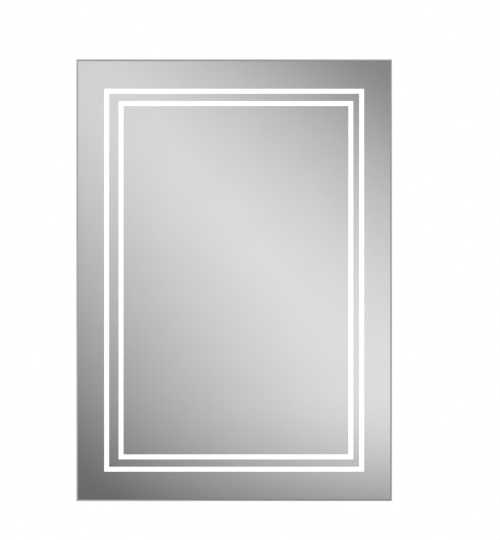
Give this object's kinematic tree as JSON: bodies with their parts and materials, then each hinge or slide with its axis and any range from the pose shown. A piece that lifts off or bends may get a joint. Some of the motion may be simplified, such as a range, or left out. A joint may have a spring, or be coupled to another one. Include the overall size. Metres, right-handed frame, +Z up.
{
  "type": "lighted mirror cabinet",
  "caption": "Wall cabinet with a mirrored, hinged door that holds two rectangular ring lights, and glass shelves behind it.",
  "frame": {"origin": "centre of the four wall screws, on the wall plane, level with the middle of the door", "axes": "+Z up, +Y into the wall, the door faces -Y"},
  "size_m": [0.5, 0.144, 0.7],
  "materials": {
    "anodised_aluminium": "satin anodised",
    "liner_aluminium": "fine brushed",
    "zinc_steel": "zinc plated",
    "hinge_nickel": "nickel plated",
    "white_sheet": "white powder coat",
    "panel_board": "grey coated sheet",
    "silver_mirror": "silvered glass",
    "float_glass": "clear float glass, polished edge",
    "opal_acrylic": "opal, lit from behind",
    "circuit_board": "white solder mask",
    "heater_film": "amber film",
    "white_plastic": "moulded",
    "grey_plastic": "moulded",
    "black_rubber": "matt",
    "clear_bumper": "translucent",
    "sensor_red": "dark infrared window",
    "pin_metal": "bright"
  },
  "bodies": {
    "cabinet": {"side_profile_left": "anodised_aluminium", "side_profile_right": "anodised_aluminium", "top_profile": "anodised_aluminium", "bottom_profile": "anodised_aluminium", "corner_brackets": "zinc_steel", "corner_grub_screws": "zinc_steel", "side_liner_left": "liner_aluminium", "side_liner_right": "liner_aluminium", "top_liner": "liner_aluminium", "bottom_liner": "liner_aluminium", "back_panel": "panel_board", "back_panel_screws": "zinc_steel", "interior_mirror": "silver_mirror", "hanger_rail": "zinc_steel", "hanger_rail_screws": "zinc_steel", "wall_rail": "zinc_steel", "wall_spacers": "grey_plastic", "electrics_cover": "white_sheet", "electrics_cover_screws": "zinc_steel", "led_driver": "white_plastic", "driver_screws": "zinc_steel", "terminal_block": "white_plastic", "mains_grommet": "black_rubber", "supply_lead": "white_plastic", "cabinet_lead": "white_plastic", "lead_grommet": "black_rubber", "sensor_module": "grey_plastic", "sensor_lens": "sensor_red", "sensor_tape_lead": "white_plastic", "hinge_plates": "hinge_nickel", "hinge_arms": "hinge_nickel", "hinge_plate_screws": "zinc_steel", "door_bumpers": "clear_bumper", "magnet_catches": "grey_plastic", "shelf_pegs": "pin_metal"},
    "door": {"mirror_glass": "float_glass", "silver_backing": "silver_mirror", "diffuser_outer": "opal_acrylic", "diffuser_inner": "opal_acrylic", "led_channel_outer": "liner_aluminium", "led_channel_inner": "liner_aluminium", "led_strip_outer": "circuit_board", "led_strip_inner": "circuit_board", "demister_pad": "heater_film", "door_frame_left": "anodised_aluminium", "door_frame_right": "anodised_aluminium", "door_frame_top": "anodised_aluminium", "door_frame_bottom": "anodised_aluminium", "door_corner_keys": "grey_plastic", "rear_mirror": "silver_mirror", "hinge_cups": "hinge_nickel", "hinge_pins": "hinge_nickel", "hinge_cup_screws": "zinc_steel", "strike_plates": "zinc_steel", "lead_elbow": "white_plastic", "door_connector": "white_plastic", "door_lead": "white_plastic", "feed_wires": "white_plastic"},
    "shelf_upper": {"glass_shelf_upper": "float_glass"},
    "shelf_lower": {"glass_shelf_lower": "float_glass"}
  },
  "joints": [
    {"name": "door_swing", "type": "hinge", "parent": "cabinet", "child": "door", "pos_m": [-0.242, -0.13, 0], "axis": [0, 0, -1], "range_deg": [0, 105], "deforming": ["door_lead"]},
    {"name": "upper_shelf_lift", "type": "slide", "parent": "cabinet", "child": "shelf_upper", "axis": [0, 0, 1], "range_m": [0, 0.025]},
    {"name": "lower_shelf_lift", "type": "slide", "parent": "cabinet", "child": "shelf_lower", "axis": [0, 0, 1], "range_m": [0, 0.025]}
  ]
}
